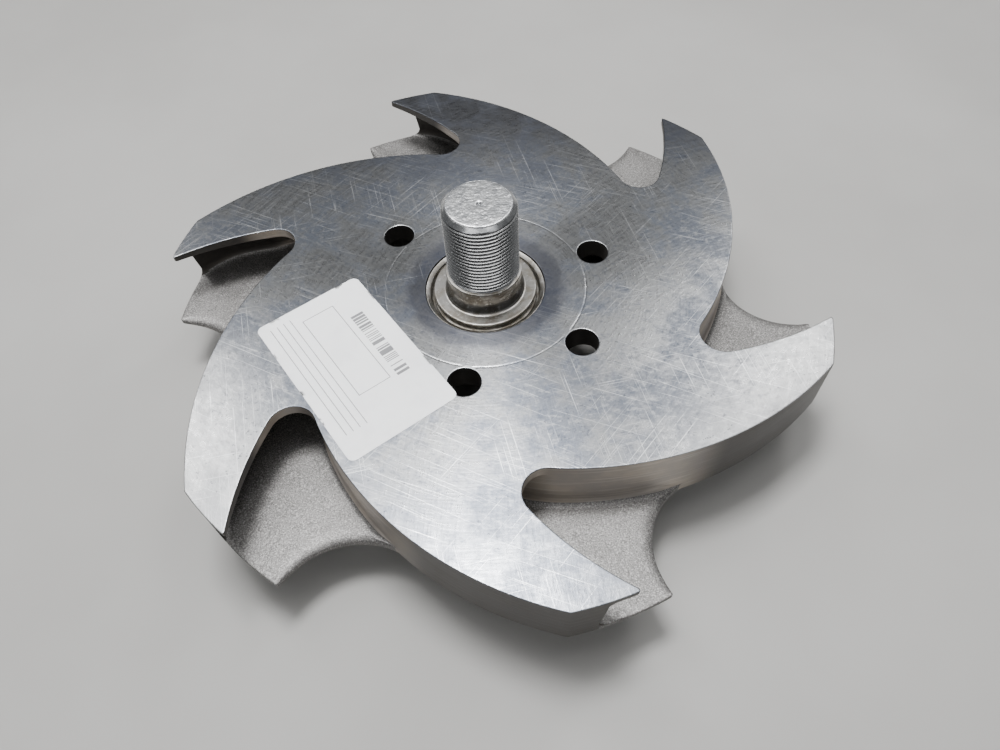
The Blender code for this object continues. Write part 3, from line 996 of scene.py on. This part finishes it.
def thread_steel():
    """The stub's bright end, with painted highlight on the upward-facing flanks, painted shade on the
    downward-facing flanks, and painted shade and grime in the thread roots.
    """
    g = Graph("bright_thread")
    blotch = g.noise(g.place, 170, 3, 0.6)
    nicks = g.noise(g.place, 300, 3, 0.7)
    facing = g.tree.nodes.new("ShaderNodeNewGeometry").outputs["Normal"]
    split = g.tree.nodes.new("ShaderNodeSeparateXYZ")
    g.tree.links.new(facing, split.inputs[0])
    end_face = g.ramp(g.z, 0.1398, 0.1402)
    colour = g.mix(g.ramp(blotch, 0.42, 0.60), (0.66, 0.67, 0.68), (0.42, 0.43, 0.445))
    lightened = g.math("MULTIPLY", g.ramp(nicks, 0.52, 0.64), end_face)
    colour = g.mix(g.math("MULTIPLY", lightened, 0.7), colour, (0.90, 0.91, 0.92))
    # Below the chamfer: upward-facing flanks lightened as painted highlight.
    cut = g.ramp(g.z, 0.1372, 0.1366)
    colour = g.mix(g.math("MULTIPLY", cut, g.ramp(split.outputs[2], 0.3, 0.6)), colour, (0.86, 0.865, 0.87))
    # Downward-facing flanks and the thread roots near black: painted shade, with some grime in the roots.
    below = g.ramp(split.outputs[2], 0.1, -0.3)
    root = g.math("MAXIMUM", below, g.ramp(g.radius, 0.0206, 0.0202))
    colour = g.mix(g.math("MULTIPLY", g.math("MULTIPLY", root, cut), 0.97), colour, (0.012, 0.012, 0.013))
    rough = g.math("ADD", g.total((blotch, 0.12), (end_face, 0.08)), 0.20)
    g.bump(g.math("MULTIPLY", nicks, end_face), 0.0005)
    return g.finish(colour, rough, 0.95)


def label_paper():
    """White label with an empty ruled form: a frame, ruled lines and plain bars."""
    g = Graph("label_stock")
    c, s = math.cos(LABEL_TURN), math.sin(LABEL_TURN)
    dx = g.math("SUBTRACT", g.x, LABEL_CENTRE.x)
    dy = g.math("SUBTRACT", g.y, LABEL_CENTRE.y)
    u = g.total((dx, c / MM), (dy, s / MM))
    v = g.total((dx, -s / MM), (dy, c / MM))

    def box(left, right, bottom, top):
        """How far outside a box a point is, in mm; below zero inside."""
        across = g.math("SUBTRACT", g.math("ABSOLUTE", g.math("SUBTRACT", u, (left + right) / 2)),
                        (right - left) / 2)
        up = g.math("SUBTRACT", g.math("ABSOLUTE", g.math("SUBTRACT", v, (bottom + top) / 2)),
                    (top - bottom) / 2)
        return g.math("MAXIMUM", across, up)

    frame_line = g.math("LESS_THAN", g.math("ABSOLUTE", box(-44, 22, -9, 11)), 0.22)
    bar_area = g.math("LESS_THAN", box(-30, 24, 15, 23), 0)
    bar_noise = g.tree.nodes.new("ShaderNodeTexWhiteNoise")
    bar_noise.noise_dimensions = "1D"
    g.put(g.math("FLOOR", g.math("MULTIPLY", u, 1.6)), bar_noise.inputs["W"])
    bars = g.math("MULTIPLY", bar_area, g.math("GREATER_THAN", bar_noise.outputs["Value"], 0.5))
    row = g.math("FRACT", g.math("DIVIDE", v, 4.2))
    rule = g.math("LESS_THAN", g.math("ABSOLUTE", g.math("SUBTRACT", row, 0.5)), 0.05)
    rule_area = g.math("MULTIPLY", g.math("LESS_THAN", box(-50, 40, -30, -12), 0), rule)
    ink = g.math("MAXIMUM", g.math("MAXIMUM", frame_line, bars), rule_area)
    soil = g.noise(g.place, 60, 4, 0.65)
    fibre = g.noise(g.place, 700, 2, 0.6)
    colour = g.mix(g.ramp(soil, 0.45, 0.75, 0.0, 0.5), (0.93, 0.94, 0.95), (0.80, 0.81, 0.83))
    colour = g.mix(g.math("MULTIPLY", ink, 0.85), colour, (0.05, 0.05, 0.06))
    rough = g.math("ADD", g.math("MULTIPLY", fibre, 0.2), 0.42)
    g.bump(g.total((fibre, 0.4), (soil, 1.0)), 0.00008)
    return g.finish(colour, rough, 0.0)


machined = machined_steel()
cast = cast_steel()
wall = wall_steel()
bright = thread_steel()
ring_steel = turned_steel("turned_ring", 900, (0.42, 0.41, 0.39), 0.24)
# A darker copy of the turned finish for the undercut neck under the band: painted shade.
neck_painted_shade_steel = turned_steel("turned_neck_painted_shade", 900, (0.20, 0.19, 0.175), 0.22)
paper = label_paper()

pieces = [
    (back_plate((machined, wall)), "back_shroud", "machined_steel"),
    (lower_plate((cast, wall)), "front_shroud", "cast_steel"),
    (eye_ring((ring_steel,)), "suction_eye_ring", "turned_ring"),
    (hub((cast, ring_steel)), "hub", "hub_steel"),
    (stub((bright, ring_steel, neck_painted_shade_steel)), "threaded_stub", "stub_steel"),
    (label_sheet((paper,)), "label", "label_paper"),
]
for number in range(1, ARMS + 1):
    pieces.append((vane(number, (wall, cast)), f"vane_{number}", "vane_steel"))
for piece, node, slot in pieces:
    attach(piece, "root")
    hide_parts(node)


# Stage

def plain_plane(name, half, height, material):
    mesh = bpy.data.meshes.new(name)
    mesh.from_pydata(
        [(-half, -half, height), (half, -half, height), (half, half, height), (-half, half, height)],
        [], [(0, 1, 2, 3)])
    mesh.materials.append(material)
    item = bpy.data.objects.new(name, mesh)
    bpy.context.scene.collection.objects.link(item)
    return item


def floor_paint():
    g = Graph("floor_paint")
    cloud = g.noise(g.place, 3, 4, 0.6)
    colour = g.mix(g.ramp(cloud, 0.3, 0.7), (0.31, 0.305, 0.295), (0.35, 0.345, 0.335))
    return g.finish(colour, 0.75, 0.0)


plain_plane("floor", 3.0, -0.0002, floor_paint())


def area_light(name, place, target, width, depth, power, mirrored=True):
    light = bpy.data.lights.new(name, "AREA")
    light.shape = "RECTANGLE"
    light.size = width
    light.size_y = depth
    light.energy = power
    item = bpy.data.objects.new(name, light)
    bpy.context.scene.collection.objects.link(item)
    item.location = place
    aim = Vector(target) - Vector(place)
    item.rotation_euler = aim.to_track_quat("-Z", "Y").to_euler()
    item.visible_glossy = mirrored


area_light("panel", (0.0, 0.15, 1.7), (0, 0.15, 0), 2.0, 0.9, 19)
area_light("key", (-0.12, 0.20, 1.7), (0, 0, 0.05), 0.5, 0.35, 36)
area_light("strip_left", (-0.85, 0.9, 1.7), (-0.3, 0.4, 0.05), 0.3, 1.0, 11)
area_light("strip_right", (0.90, 1.1, 1.7), (0.3, 0.4, 0.05), 0.3, 1.0, 11)
area_light("front", (0.0, -1.15, 1.5), (0, 0, 0.05), 2.4, 0.4, 9)
world = bpy.data.worlds.new("studio")
world.use_nodes = True
background = world.node_tree.nodes["Background"]
background.inputs["Color"].default_value = (0.95, 0.98, 1.0, 1)
background.inputs["Strength"].default_value = 0.08
bpy.context.scene.world = world

# Camera, solved from the six like arms of the photograph
CAMERA_PLACE = Vector((0, -0.30395, 0.41034))
CAMERA_TARGET = Vector((0, 0, TOP_HEIGHT))
CAMERA_YAW, CAMERA_PITCH, CAMERA_ROLL = (math.radians(a) for a in (-0.6078, -6.960, 4.411))
FOCAL_PIXELS = 740.096
IMAGE_WIDTH = 1000
SENSOR = 36.0


def solved_camera():
    forward = (CAMERA_TARGET - CAMERA_PLACE).normalized()
    right = Vector((1, 0, 0))
    up = right.cross(forward)
    for axis, angle in ((0, CAMERA_YAW), (1, CAMERA_PITCH), (2, CAMERA_ROLL)):
        turn = Matrix.Rotation(angle, 3, (up, right, forward)[axis])
        right, up, forward = turn @ right, turn @ up, turn @ forward
    data = bpy.data.cameras.new("camera")
    data.sensor_width = SENSOR
    data.lens = FOCAL_PIXELS / IMAGE_WIDTH * SENSOR
    data.clip_start = 0.01
    item = bpy.data.objects.new("camera", data)
    bpy.context.scene.collection.objects.link(item)
    axes = Matrix((right, up, -forward)).transposed()
    item.matrix_world = Matrix.Translation(CAMERA_PLACE) @ axes.to_4x4()
    return item


bpy.context.scene.camera = solved_camera()
